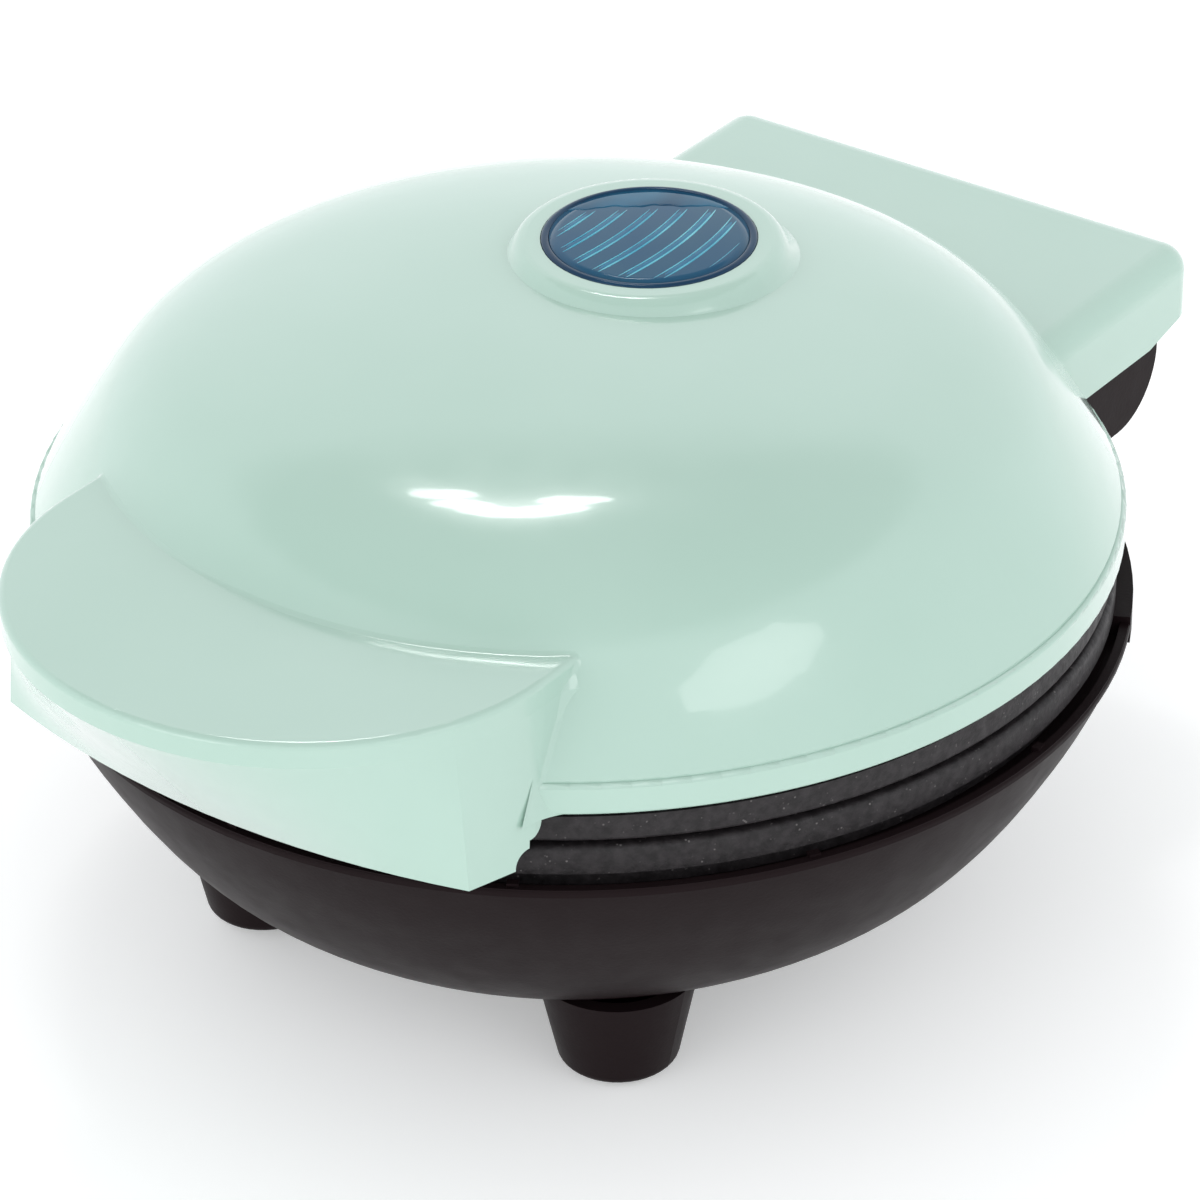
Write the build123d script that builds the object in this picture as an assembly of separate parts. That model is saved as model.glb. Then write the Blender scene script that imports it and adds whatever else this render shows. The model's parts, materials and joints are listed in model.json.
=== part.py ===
from build123d import *
import math
import os

# Donut maker: a round clamshell cooker on four feet, closed.
# Millimetres. Origin on the bowl's axis at table level, +Z up, handle towards -Y,
# hinge and cord outlet towards +Y.

# Driving dimensions
LID_R = 79.0            # outside of the lid's rim band
BASE_R = 80.5           # outside of the base's rim bead
WALL = 2.2              # moulded wall thickness
PART_Z = 56.25          # middle plane between the two cooking plates
PLATE_GAP = 0.6         # air gap between the closed plates

# Lid
LID_RIM_Z = 61.8        # lower edge of the rim band
LID_BAND_TOP = 66.5
DOME_TOP = 97.0
DOME_PROFILE = [        # radius, height, fall of the surface in degrees
    (78.2, 66.9, 63),
    (71.0, 78.8, 55),
    (65.5, 85.5, 43),
    (58.0, 90.3, 23),
    (42.0, 94.4, 9),
]

# Base
BASE_RIM_Z = 50.7       # top of the rim bead
BASE_FLOOR_Z = 8.0
BOWL_PROFILE = [        # radius, height, rise of the surface in degrees
    (40.0, BASE_FLOOR_Z, 0),
    (51.4, 12.0, 35),
    (64.6, 22.6, 48),
    (75.1, 38.3, 61),
    (79.8, 48.4, 68),
    (80.3, 49.8, 74),
]
LEDGE_Z = 48.4          # ledge inside the rim that the lower plate stands on
LEDGE_R = 73.5
GROOVE_R = 79.0         # outside of the groove between rim and lower plate
GROOVE_DEPTH = 2.2
REAR_WEB_ANGLE = 26.0   # the raised rear part of the rim starts this far behind the X axis
REAR_WEB_Z = 51.7
RIB_COUNT = 12
RIB_REACH = 0.6         # how far a rib stands into the groove
RIB_RISE = 0.4

# Feet
FOOT_X = 32.6
FOOT_Y = 36.0
FOOT_TOP_R = 11.8
FOOT_BOTTOM_R = 8.6
FOOT_TOP_Z = 16.0
FOOT_BOTTOM_Z = 0.8
PAD_R = 6.6
PAD_HEIGHT = 2.2

# Plates and their cavities
PLATE_R = 77.6
LOWER_PLATE_R = 78.0
PLATE_SPIGOT_R = 76.2
PLATE_SKIN = 3.0
RING_R = 13.5           # centre circle of a ring cavity
RING_TUBE_R = 7.4       # radius of a ring cavity's round section
CAVITY_PITCH = 47.0
OUTER_CAVITIES = 6
BUMP_R = RING_TUBE_R + 2.1
FLANGE_DROP = 4.2       # height of the plate's visible edge
SPIGOT_DEPTH = 7.4      # how far the plate's skirt reaches back from its face

# Heating elements
HEATER_R = 30.0
HEATER_TUBE_R = 3.2
HEATER_SEAT = 11.0      # from the middle plane to the seat on the plate's back
HEATER_SWEEP = 324.0
SHIELD_OFFSET = 17.0    # from the middle plane to the heat shield
SHIELD_SKIN = 0.6
SHIELD_R = 64.5
THERMOSTAT_R = 7.6
THERMOSTAT_HEIGHT = 7.0
BOSS_R = 4.2
SHIELD_SCREW_CIRCLE = 58.5
SHIELD_SCREW_ANGLES = (30, 150, 270)
BASE_SCREW_CIRCLE = 40.7
BASE_SCREW_ANGLES = (30, 150, 210, 330)

# Signal lens
LENS_Y = 18.1
LENS_R = 15.6
LENS_TOP = 99.3
LENS_SEAT = 96.9
COLLAR_R = 19.0
COLLAR_TOP = 99.0
LAMP_BORE_R = 14.0
LAMP_FLOOR = 87.0

# Handle
HANDLE_TOP = 81.0
HANDLE_EDGE = 3.6       # height of the upright edge round the grip
HANDLE_BOTTOM = 55.7
HANDLE_FRONT = 101.7
HANDLE_HALF = 41.8      # half width of the oval grip
HANDLE_OVAL_Y = 63.4    # where the oval is widest
HANDLE_CORNER = 23.0    # degrees round the oval at which the apron's corners run out
HANDLE_ROOT_Y = 54.0
APRON_FRONT = 84.7
APRON_CORNER = (40.3, 78.8)
APRON_SIDE = (43.4, 69.0)
APRON_ROOT_X = 45.4
LEAN_FACTOR = 1.27      # plan inset per unit of wall on the leaning apron
FLARE_ROWS = [          # height, half width of the handle, radius of the dome, hollow radius
    (LID_RIM_Z, HANDLE_HALF + 1.1, 78.2, 10.0),
    (HANDLE_TOP - HANDLE_EDGE, HANDLE_HALF - 0.3, 71.9, 6.0),
    (HANDLE_TOP - 1.0, HANDLE_HALF - 0.5, 69.9, 3.0),
]
GRIP_EDGE_R = 0.9
GRIP_SEAM_R = 1.0       # hollow rounding between grip and dome

# Hinge and its cover
AXIS_Y = 88.0
AXIS_Z = 57.0
COVER_HALF = 42.4
COVER_TOP = 74.9
COVER_BOTTOM = 61.6
COVER_REAR = 101.7
COVER_CORNER_R = 4.4
COVER_EDGE_R = 4.1
CHIN_Z = 64.4           # underside of the cover at its rear edge
BLOCK_HALF = 38.0
BLOCK_R = 10.8
CHEEK = 2.6
TROUGH_END_ANGLE = 28.0
PIN_R = 2.5
PIN_CLEARANCE = 0.05
PIN_INNER_X = 30.0
PIN_OUTER_X = 37.2
ARM_INNER_X = 31.0
ARM_OUTER_X = 35.0
ARM_BOSS_R = 4.7
BUSH_R = 3.6

# Cord outlet and wiring
CORD_BORE_R = 3.4
GLAND_R = 5.0
GLAND_FLANGE_R = 6.8
GLAND_Z = 26.0
GLAND_INNER_Y = 56.0
OUTLET_R = 8.0
OUTLET_FACE_Y = 72.5
CLAMP_Y = 46.0
CLAMP_X = 8.5
CLAMP_Z = 29.4
LEAD_R = 1.1
SLEEVE_R = 2.2
DUCT_HALF = 8.2
DUCT_SKIN = 2.0
DUCT_Z = (41.0, 46.3)
TERMINAL_Y = (24.0, 36.0)
TERMINAL_Z = (10.3, 21.0)
UPPER_TERMINAL_Y = (46.0, 54.0)
UPPER_TERMINAL_Z = (77.5, 85.0)
FUSE_Y = -16.0
TERMINAL_POLES = (-6.0, 6.0)


HINGE_LEAD_ROUTE = [    # hinge line, round the plate's edge, over the heat shield
    (0.2, AXIS_Y, AXIS_Z),
    (16, AXIS_Y, AXIS_Z),
    (16, 81.5, 60.0),
    (16, 78.5, 66.5),
    (15, 69.2, 70.3),
    (12, 64.8, 78.0),
    (3, 58.5, 80.5),
    (3, UPPER_TERMINAL_Y[1] + 0.2, 80.5),
]


def polar(radius, degrees):
    """Point on a circle about the bowl's axis."""
    angle = math.radians(degrees)
    return radius * math.cos(angle), radius * math.sin(angle)


def upright(radius, z_low, z_high, at=(0, 0)):
    """Vertical cylinder between two heights."""
    middle = (z_low + z_high) / 2
    return Pos(at[0], at[1], middle) * Cylinder(radius, z_high - z_low)


def block(x, y, z):
    """Box between low and high limits on each axis."""
    place = Pos(sum(x) / 2, sum(y) / 2, sum(z) / 2)
    return place * Box(x[1] - x[0], y[1] - y[0], z[1] - z[0])


def lateral(radius, x_low, x_high, y, z):
    """Cylinder along X."""
    place = Pos((x_low + x_high) / 2, y, z) * Rot(0, 90, 0)
    return place * Cylinder(radius, x_high - x_low)


def spun(outline):
    """Solid of revolution about Z from a closed outline in the XZ plane."""
    return revolve(make_face(Plane.XZ * outline), Axis.Z)


def offset_points(profile, inset, turn):
    """Profile points moved inwards along the surface normal; turn is -1 on the lid, 1 on the base."""
    points = []
    tangents = []
    for radius, height, slope in profile:
        angle = math.radians(slope)
        points.append((radius - inset * math.sin(angle), height + turn * inset * math.cos(angle)))
        tangents.append((turn * math.cos(angle), math.sin(angle)))
    return points, tangents


def lead(points, radius=LEAD_R):
    """Insulated wire or rod as straight runs with ball corners."""
    solid = None
    for start, end in zip(points, points[1:]):
        line = Line(start, end)
        run = sweep(Plane(origin=start, z_dir=line % 0) * Circle(radius), path=line)
        solid = run if solid is None else solid + run
    for corner in points[1:-1]:
        solid += Pos(*corner) * Sphere(radius)
    return solid


# ---------------------------------------------------------------- base

def bowl_solid(inset):
    """Filled bowl up to the rim, inset from the outer surface."""
    points, tangents = offset_points(BOWL_PROFILE, inset, 1)
    curve = Spline(*points, tangents=tangents)
    floor_z = points[0][1]
    edge_r = points[-1][0]
    outline = curve + Line((0, floor_z), points[0])
    outline += Polyline(points[-1], (edge_r, BASE_RIM_Z), (0, BASE_RIM_Z), (0, floor_z))
    return spun(outline)


def ring(r_in, r_out, z_low, z_high):
    """Flat ring about the bowl's axis."""
    return upright(r_out, z_low, z_high) - upright(r_in, z_low - 1, z_high + 1)


def rim_bead():
    """Rounded bead that edges the bowl."""
    bead = ring(GROOVE_R, BASE_R, BASE_RIM_Z - 1.1, BASE_RIM_Z)
    edges = bead.edges().filter_by(GeomType.CIRCLE).group_by(Axis.Z)
    return fillet(edges[-1], 0.6)


def foot_solid(x, y, shrink, z_low):
    """Tapered round foot; shrink gives its hollow."""
    height = FOOT_TOP_Z - z_low
    cone = Pos(x, y, z_low) * Cone(
        FOOT_BOTTOM_R - shrink,
        FOOT_TOP_R - shrink,
        height,
        align=(Align.CENTER, Align.CENTER, Align.MIN),
    )
    if shrink:
        return cone
    return fillet(cone.edges().group_by(Axis.Z)[0], 1.6)


def trough_profile():
    """Hinge block seen from the side: a round-backed channel open at the top."""
    with BuildSketch(Plane.YZ) as sketch:
        with Locations((AXIS_Y, AXIS_Z)):
            Circle(BLOCK_R)
        with Locations(((AXIS_Y + 66.0) / 2, AXIS_Z - BLOCK_R / 2)):
            Rectangle(AXIS_Y - 66.0, BLOCK_R)
        with Locations(((AXIS_Y + 72.0) / 2, AXIS_Z + 2.5)):
            Rectangle(AXIS_Y - 72.0, 5.0)
    return sketch.sketch


def hinge_block():
    """Channel between two cheeks that carries the hinge pins."""
    body = extrude(trough_profile(), BLOCK_HALF, both=True)
    inner_half = BLOCK_HALF - CHEEK
    body -= lateral(BLOCK_R - WALL, -inner_half, inner_half, AXIS_Y, AXIS_Z)
    clear = (-inner_half, inner_half)
    body -= block(clear, (60, AXIS_Y), (AXIS_Z - BLOCK_R + WALL, 70))
    lip = AXIS_Z + BLOCK_R * math.sin(math.radians(TROUGH_END_ANGLE))
    body -= block(clear, (AXIS_Y - 20, AXIS_Y + 20), (lip, lip + 10))
    for pin in pin_rods():
        body -= pin
    return body


def pin_rods():
    """The two hinge pins, which are also the shape of their blind seats in the cheeks."""
    rods = []
    for side in (-1, 1):
        ends = sorted((side * PIN_INNER_X, side * PIN_OUTER_X))
        rods.append(lateral(PIN_R, *ends, AXIS_Y, AXIS_Z))
    return rods


def duct_way():
    """Passage for the lid's leads from the bowl, under the rim and up into the hinge channel."""
    half = DUCT_HALF - DUCT_SKIN
    level = block((-half, half), (60, 85.5), DUCT_Z)
    return level + block((-half, half), (BASE_R + 0.3, 85.5), (DUCT_Z[0], 50.5))


def base_shell():
    """Bowl with its rim, ledge, feet, hinge block, screw posts and cord outlet in one moulding."""
    shell = bowl_solid(0) + rim_bead()
    for x in (-FOOT_X, FOOT_X):
        for y in (-FOOT_Y, FOOT_Y):
            shell += foot_solid(x, y, 0, FOOT_BOTTOM_Z)
    shell += hinge_block()
    shell += block((-DUCT_HALF, DUCT_HALF), (70, 87.5), (DUCT_Z[0] - DUCT_SKIN, 48))
    outlet = Pos(0, OUTLET_FACE_Y, GLAND_Z) * Rot(90, 0, 0)
    shell += outlet * Cylinder(OUTLET_R, 20, align=(Align.CENTER, Align.CENTER, Align.MIN))

    cavity = bowl_solid(WALL)
    cavity += upright(GROOVE_R, BASE_RIM_Z - GROOVE_DEPTH, 70)
    for x in (-FOOT_X, FOOT_X):
        for y in (-FOOT_Y, FOOT_Y):
            cavity += foot_solid(x, y, WALL, FOOT_BOTTOM_Z + 3.4)
    shell -= cavity

    shell += ring(LEDGE_R, LOWER_PLATE_R, LEDGE_Z - 2.0, LEDGE_Z)
    shell += rim_ribs() + rear_web()
    shell -= duct_way()
    for side in (-1, 1):
        shell += upright(3.4, 11.5, CLAMP_Z, (side * CLAMP_X, CLAMP_Y))
        shell -= upright(1.5, CLAMP_Z - 12, CLAMP_Z + 1, (side * CLAMP_X, CLAMP_Y))
    for angle in BASE_SCREW_ANGLES:
        spot = polar(BASE_SCREW_CIRCLE, angle)
        shell += upright(4.6, BASE_FLOOR_Z + 0.5, PART_Z - HEATER_SEAT - 0.1, spot)
        shell -= upright(3.9, BASE_FLOOR_Z - 2, BASE_FLOOR_Z + 12, spot)
        shell -= upright(2.1, BASE_FLOOR_Z, PART_Z, spot)
    shell -= outlet * Cylinder(GLAND_R, 60)
    for x in (-FOOT_X, FOOT_X):
        for y in (-FOOT_Y, FOOT_Y):
            shell -= upright(PAD_R + 0.05, 0, PAD_HEIGHT, (x, y))
    return shell


def rim_ribs():
    """Small ribs across the groove between the rim and the lower plate, on the front half."""
    ribs = None
    for index in range(RIB_COUNT):
        angle = index * 360 / RIB_COUNT
        if 20 < angle < 160:
            continue
        radial = (GROOVE_R - RIB_REACH, GROOVE_R + RIB_REACH)
        heights = (BASE_RIM_Z - GROOVE_DEPTH, BASE_RIM_Z + RIB_RISE)
        rib = Rot(0, 0, angle) * block(radial, (-0.8, 0.8), heights)
        ribs = rib if ribs is None else ribs + rib
    return ribs


def rear_web():
    """Raised rear stretch of the rim that closes the groove, with a guard ahead of the hinge."""
    web = ring(76.9, BASE_R, LEDGE_Z - 1, REAR_WEB_Z)
    start = polar(120, REAR_WEB_ANGLE)
    with BuildSketch() as keep:
        with BuildLine():
            Polyline((0, 0), start, (start[0], 130), (-start[0], 130), (-start[0], start[1]), close=True)
        make_face()
    web = web & extrude(keep.sketch, 100)
    guard = ring(78.4, 80.0, REAR_WEB_Z - 1, PART_Z - 0.9)
    return web + (guard & block((-29, 29), (60, 90), (0, 100)))


def foot_pads():
    """Soft pads let into the undersides of the feet."""
    pads = []
    for x in (-FOOT_X, FOOT_X):
        for y in (-FOOT_Y, FOOT_Y):
            pad = upright(PAD_R, 0, PAD_HEIGHT, (x, y))
            pads.append(fillet(pad.edges().group_by(Axis.Z)[0], 0.5))
    return pads


def screw(spot, z_head, z_tip, head_r, shank_r):
    """Pan-head screw on a vertical line, head at z_head and tip at z_tip."""
    up = 1 if z_tip > z_head else -1
    head_end = z_head + up * 2.2
    head = upright(head_r, min(z_head, head_end), max(z_head, head_end), spot)
    shank = upright(shank_r, min(head_end, z_tip), max(head_end, z_tip), spot)
    slot = block(
        (spot[0] - head_r * 0.7, spot[0] + head_r * 0.7),
        (spot[1] - 0.4, spot[1] + 0.4),
        sorted((z_head - up, z_head + up)),
    )
    cross = block(
        (spot[0] - 0.4, spot[0] + 0.4),
        (spot[1] - head_r * 0.7, spot[1] + head_r * 0.7),
        sorted((z_head - up, z_head + up)),
    )
    return head + shank - slot - cross


def base_screws():
    """Long screws up through the base posts into the lower plate."""
    head_z = BASE_FLOOR_Z + 12 - 2.2
    tip_z = PART_Z - HEATER_SEAT + 5
    return [
        screw(polar(BASE_SCREW_CIRCLE, angle), head_z, tip_z, 3.6, 2.0)
        for angle in BASE_SCREW_ANGLES
    ]


def cord_gland():
    """Flanged bush that lines the cord outlet."""
    turn = Rot(-90, 0, 0)
    base = (Align.CENTER, Align.CENTER, Align.MIN)
    length = OUTLET_FACE_Y - GLAND_INNER_Y
    body = Pos(0, GLAND_INNER_Y, GLAND_Z) * turn * Cylinder(GLAND_R, length, align=base)
    flange = Pos(0, OUTLET_FACE_Y, GLAND_Z) * turn * Cylinder(GLAND_FLANGE_R, 1.8, align=base)
    body += fillet(flange.edges().filter_by(GeomType.CIRCLE).sort_by(Axis.Y)[-1], 0.6)
    return body - Pos(0, GLAND_INNER_Y, GLAND_Z) * turn * Cylinder(CORD_BORE_R, 40)


def cord_clamp():
    """Bar screwed down over the cord inside the base."""
    bar = block((-12, 12), (CLAMP_Y - 3, CLAMP_Y + 3), (CLAMP_Z + 0.1, CLAMP_Z + 2.6))
    bar = fillet(bar.edges().filter_by(Axis.Z), 2.0)
    for side in (-1, 1):
        bar -= upright(1.6, CLAMP_Z - 1, CLAMP_Z + 4, (side * CLAMP_X, CLAMP_Y))
    return bar


def clamp_screws():
    """Screws of the cord clamp."""
    return [
        screw((side * CLAMP_X, CLAMP_Y), CLAMP_Z + 4.8, CLAMP_Z - 11, 2.8, 1.5)
        for side in (-1, 1)
    ]


def terminal_body(y, z, half, poles, screw_r):
    """Insulating block with a wire hole through each pole and a screw well above it."""
    body = block((-half, half), y, z)
    body = fillet(body.edges().filter_by(Axis.Z), 1.0)
    middle_y = sum(y) / 2
    for x in poles:
        hole = Pos(x, middle_y, z[0] + 4.5) * Rot(90, 0, 0)
        body -= hole * Cylinder(1.4, 40)
        body -= upright(screw_r, z[0] + 4.5, z[1] + 1, (x, middle_y))
    return body


def terminal_screws():
    """Clamping screws of the base terminal block."""
    middle_y = sum(TERMINAL_Y) / 2
    top = TERMINAL_Z[1] - 0.6
    return [upright(2.0, top - 4, top, (x, middle_y)) for x in TERMINAL_POLES]


def hinge_pins():
    """Steel pins fixed in the cheeks."""
    return pin_rods()


def hinge_leads_base():
    """Sleeved leads from the base terminal block to the middle of the hinge line."""
    route = [
        (0, TERMINAL_Y[1] + 0.2, 17.0),
        (0, 39.8, 17.0),
        (0, 40.0, 34.9),
        (0, 63.5, 34.9),
        (0, 69.7, 39.3),
        (0, 72.4, 43.6),
        (0, 83.0, 43.6),
        (0, 83.2, 49.0),
        (-12, 85.5, 52.5),
        (-14, AXIS_Y, AXIS_Z),
        (-0.2, AXIS_Y, AXIS_Z),
    ]
    return lead(route, SLEEVE_R)


# ---------------------------------------------------------------- cooking plates

def cavity_spots():
    """Centres of the ring cavities: one in the middle and the rest around it."""
    spots = [(0.0, 0.0)]
    for index in range(OUTER_CAVITIES):
        spots.append(polar(CAVITY_PITCH, index * 360 / OUTER_CAVITIES))
    return spots


def plate_solid(edge_r, screw_angles):
    """Cast plate, face at Z=0 looking down, back upwards; mirrored for the lower plate."""
    face = PLATE_GAP / 2
    rim = upright(edge_r, face, FLANGE_DROP + face)
    rim = fillet(rim.edges().group_by(Axis.Z)[0], 0.9)
    body = rim + upright(PLATE_SPIGOT_R, FLANGE_DROP, SPIGOT_DEPTH)
    body -= upright(PLATE_SPIGOT_R - 2.4, face + PLATE_SKIN, SPIGOT_DEPTH + 1)
    spots = cavity_spots()
    for x, y in spots:
        body += (Pos(x, y, 0) * Torus(RING_R, BUMP_R)) & block((-90, 90), (-90, 90), (face + 1, 20))
    body += ring(HEATER_R - 4.6, HEATER_R + 4.6, face + 1, HEATER_SEAT)
    body += upright(9.0, face + 1, HEATER_SEAT)
    for angle in screw_angles:
        body += upright(BOSS_R, face + 1, HEATER_SEAT, polar(BASE_SCREW_CIRCLE, angle))
    for angle in SHIELD_SCREW_ANGLES:
        body += upright(BOSS_R, face + 1, SHIELD_OFFSET, polar(SHIELD_SCREW_CIRCLE, angle))
    for x, y in spots:
        body -= Pos(x, y, 0) * Torus(RING_R, RING_TUBE_R)
    body -= Pos(0, 0, HEATER_SEAT + HEATER_TUBE_R * 0.4) * Torus(HEATER_R, HEATER_TUBE_R + 0.04)
    for angle in screw_angles:
        body -= upright(2.0, HEATER_SEAT - 6, HEATER_SEAT + 1, polar(BASE_SCREW_CIRCLE, angle))
    for angle in SHIELD_SCREW_ANGLES:
        body -= upright(1.5, SHIELD_OFFSET - 7, SHIELD_OFFSET + 1, polar(SHIELD_SCREW_CIRCLE, angle))
    return body


def placed_upper(solid):
    """Plate-frame solid placed in the lid."""
    return Pos(0, 0, PART_Z) * solid


def placed_lower(solid):
    """Plate-frame solid turned over about Y and placed in the base."""
    return Pos(0, 0, PART_Z) * Rot(0, 180, 0) * solid


def heater_solid():
    """Sheathed element in an open ring with its cold ends turned away from the plate."""
    centre_z = HEATER_SEAT + HEATER_TUBE_R * 0.4
    section = Plane.XZ * (Pos(HEATER_R, centre_z) * Circle(HEATER_TUBE_R))
    start = 90 + (360 - HEATER_SWEEP) / 2
    body = Rot(0, 0, start) * revolve(section, Axis.Z, HEATER_SWEEP)
    for angle in (start, start + HEATER_SWEEP):
        spot = polar(HEATER_R, angle)
        body += Pos(spot[0], spot[1], centre_z) * Sphere(HEATER_TUBE_R)
        body += upright(HEATER_TUBE_R, centre_z, SHIELD_OFFSET + 4, spot)
        body += upright(1.3, SHIELD_OFFSET + 4, SHIELD_OFFSET + 10, spot)
    return body


def shield_solid(edge_r, hole_angles):
    """Bright sheet pan behind an element."""
    body = upright(edge_r, SHIELD_OFFSET, SHIELD_OFFSET + SHIELD_SKIN)
    body += ring(edge_r - SHIELD_SKIN, edge_r, SHIELD_OFFSET - 4, SHIELD_OFFSET + SHIELD_SKIN)
    body -= upright(THERMOSTAT_R + 2, SHIELD_OFFSET - 1, SHIELD_OFFSET + 2)
    half_gap = (360 - HEATER_SWEEP) / 2
    for angle in (90 - half_gap, 90 + half_gap):
        body -= upright(5.0, SHIELD_OFFSET - 1, SHIELD_OFFSET + 2, polar(HEATER_R, angle))
    for angle in hole_angles:
        body -= upright(5.4, SHIELD_OFFSET - 1, SHIELD_OFFSET + 2, polar(BASE_SCREW_CIRCLE, angle))
    for angle in SHIELD_SCREW_ANGLES:
        body -= upright(1.7, SHIELD_OFFSET - 1, SHIELD_OFFSET + 2, polar(SHIELD_SCREW_CIRCLE, angle))
    return body


def shield_screws():
    """Screws that hold a heat shield to its plate."""
    head = SHIELD_OFFSET + SHIELD_SKIN + 2.2
    return [
        screw(polar(SHIELD_SCREW_CIRCLE, angle), head, SHIELD_OFFSET - 6, 3.0, 1.5)
        for angle in SHIELD_SCREW_ANGLES
    ]


def thermostat_solid():
    """Disc thermostat against the plate's centre boss, with two blades."""
    top = HEATER_SEAT + THERMOSTAT_HEIGHT
    body = upright(THERMOSTAT_R, HEATER_SEAT, HEATER_SEAT + 3)
    body += upright(THERMOSTAT_R - 1.2, HEATER_SEAT + 3, top)
    for x in (-4.4, 4.4):
        body += block((x - 0.4, x + 0.4), (-2.2, 2.2), (top - 1, top + 5))
    return body


def fuse_z():
    """Height of the thermal fuse's axis from the middle plane."""
    return SHIELD_OFFSET + SHIELD_SKIN + 3.1


def thermal_fuse():
    """Sleeved one-shot fuse lying on the heat shield."""
    return lateral(3.0, -8, 8, FUSE_Y, fuse_z())


def fuse_clip():
    """Sheet strap that holds the fuse to the shield."""
    low = SHIELD_OFFSET + SHIELD_SKIN
    strap = lateral(3.6, -2.5, 2.5, FUSE_Y, fuse_z())
    strap += block((-2.5, 2.5), (FUSE_Y - 3.6, FUSE_Y + 3.6), (low, fuse_z()))
    strap -= lateral(3.0, -3, 3, FUSE_Y, fuse_z())
    strap -= block((-3, 3), (FUSE_Y - 3.0, FUSE_Y + 3.0), (low - 1, fuse_z()))
    for side in (-1, 1):
        ear = sorted((FUSE_Y + side * 3.0, FUSE_Y + side * 8.5))
        strap += block((-2.5, 2.5), ear, (low, low + 0.6))
    return strap


def lower_leads():
    """Four leads that join terminal block, fuse, thermostat and element in the base."""
    pin_x, pin_y = polar(HEATER_R, 90 - (360 - HEATER_SWEEP) / 2)
    pin_end = PART_Z - SHIELD_OFFSET - 10.1
    tab_end = PART_Z - HEATER_SEAT - THERMOSTAT_HEIGHT - 5.1
    fuse_height = PART_Z - fuse_z()
    pole_z = TERMINAL_Z[0] + 4.5
    front = TERMINAL_Y[0] - 0.1
    feed = [
        (-6, front, pole_z),
        (-6, 12, pole_z),
        (-13, FUSE_Y, 22),
        (-13, FUSE_Y, fuse_height),
        (-8.1, FUSE_Y, fuse_height),
    ]
    link = [
        (8.1, FUSE_Y, fuse_height),
        (13, FUSE_Y, fuse_height),
        (12, -6, 29),
        (4.4, 0, 29),
        (4.4, 0, tab_end),
    ]
    switched = [
        (-4.4, 0, tab_end),
        (-4.4, 0, 27),
        (-pin_x, 20, 25),
        (-pin_x, pin_y, 25),
        (-pin_x, pin_y, pin_end),
    ]
    neutral = [
        (pin_x, pin_y, pin_end),
        (pin_x, pin_y, 25),
        (pin_x, 17, 22),
        (6, 15, pole_z),
        (6, front, pole_z),
    ]
    return [lead(route) for route in (feed, link, switched, neutral)]


# ---------------------------------------------------------------- lid

def dome_solid(inset):
    """Filled dome above the rim band, inset from the outer surface."""
    points, tangents = offset_points(DOME_PROFILE, inset, -1)
    points.append((0, DOME_TOP - inset))
    tangents.append((-1, 0))
    curve = Spline(*points, tangents=tangents)
    low = points[0]
    outline = curve + Polyline(points[-1], (0, LID_RIM_Z), (low[0], LID_RIM_Z), low)
    return spun(outline)


def rim_band():
    """Upright band round the foot of the dome."""
    band = ring(LID_R - WALL, LID_R, LID_RIM_Z, LID_BAND_TOP)
    edges = band.edges().filter_by(GeomType.CIRCLE)
    outer = edges.filter_by(lambda edge: edge.radius > LID_R - 0.1)
    return fillet(outer, 0.6)


def grip_outline(z, inset):
    """Oval plan of the grip at one height."""
    half = HANDLE_HALF - inset
    depth = HANDLE_FRONT - HANDLE_OVAL_Y - inset
    middle = (0, -HANDLE_OVAL_Y)
    turn = HANDLE_CORNER
    with BuildSketch(Plane.XY.offset(z)) as sketch:
        with BuildLine():
            EllipticalCenterArc(middle, half, depth, start_angle=180, arc_size=turn)
            EllipticalCenterArc(middle, half, depth, start_angle=180 + turn, arc_size=180 - 2 * turn)
            EllipticalCenterArc(middle, half, depth, start_angle=360 - turn, arc_size=turn)
            Line((half, -HANDLE_OVAL_Y), (half, -HANDLE_ROOT_Y))
            Line((half, -HANDLE_ROOT_Y), (-half, -HANDLE_ROOT_Y))
            Line((-half, -HANDLE_ROOT_Y), (-half, -HANDLE_OVAL_Y))
        make_face()
    return sketch.sketch


def apron_outline(inset):
    """Plan of the apron's lower edge, with a corner at each end of its front."""
    corner_x = APRON_CORNER[0] - inset
    corner_y = inset - APRON_CORNER[1]
    side_x = APRON_SIDE[0] - inset
    root_x = APRON_ROOT_X - inset
    with BuildSketch(Plane.XY.offset(HANDLE_BOTTOM)) as sketch:
        with BuildLine():
            Line((-side_x, -APRON_SIDE[1]), (-corner_x, corner_y))
            ThreePointArc((-corner_x, corner_y), (0, inset - APRON_FRONT), (corner_x, corner_y))
            Line((corner_x, corner_y), (side_x, -APRON_SIDE[1]))
            Line((side_x, -APRON_SIDE[1]), (root_x, -HANDLE_ROOT_Y))
            Line((root_x, -HANDLE_ROOT_Y), (-root_x, -HANDLE_ROOT_Y))
            Line((-root_x, -HANDLE_ROOT_Y), (-side_x, -APRON_SIDE[1]))
        make_face()
    return sketch.sketch


def handle_solid(wall):
    """Flat oval grip over an apron that leans inwards; wall gives its hollow."""
    inset = wall * LEAN_FACTOR
    crease_z = HANDLE_TOP - HANDLE_EDGE
    grip = extrude(grip_outline(crease_z, inset), HANDLE_EDGE - wall)
    whole = grip + loft([apron_outline(inset), grip_outline(crease_z, inset)])
    half = whole & block((0, HANDLE_FRONT), (-HANDLE_FRONT - 5, 0), (0, DOME_TOP))
    return half + mirror(half, Plane.YZ)


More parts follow.
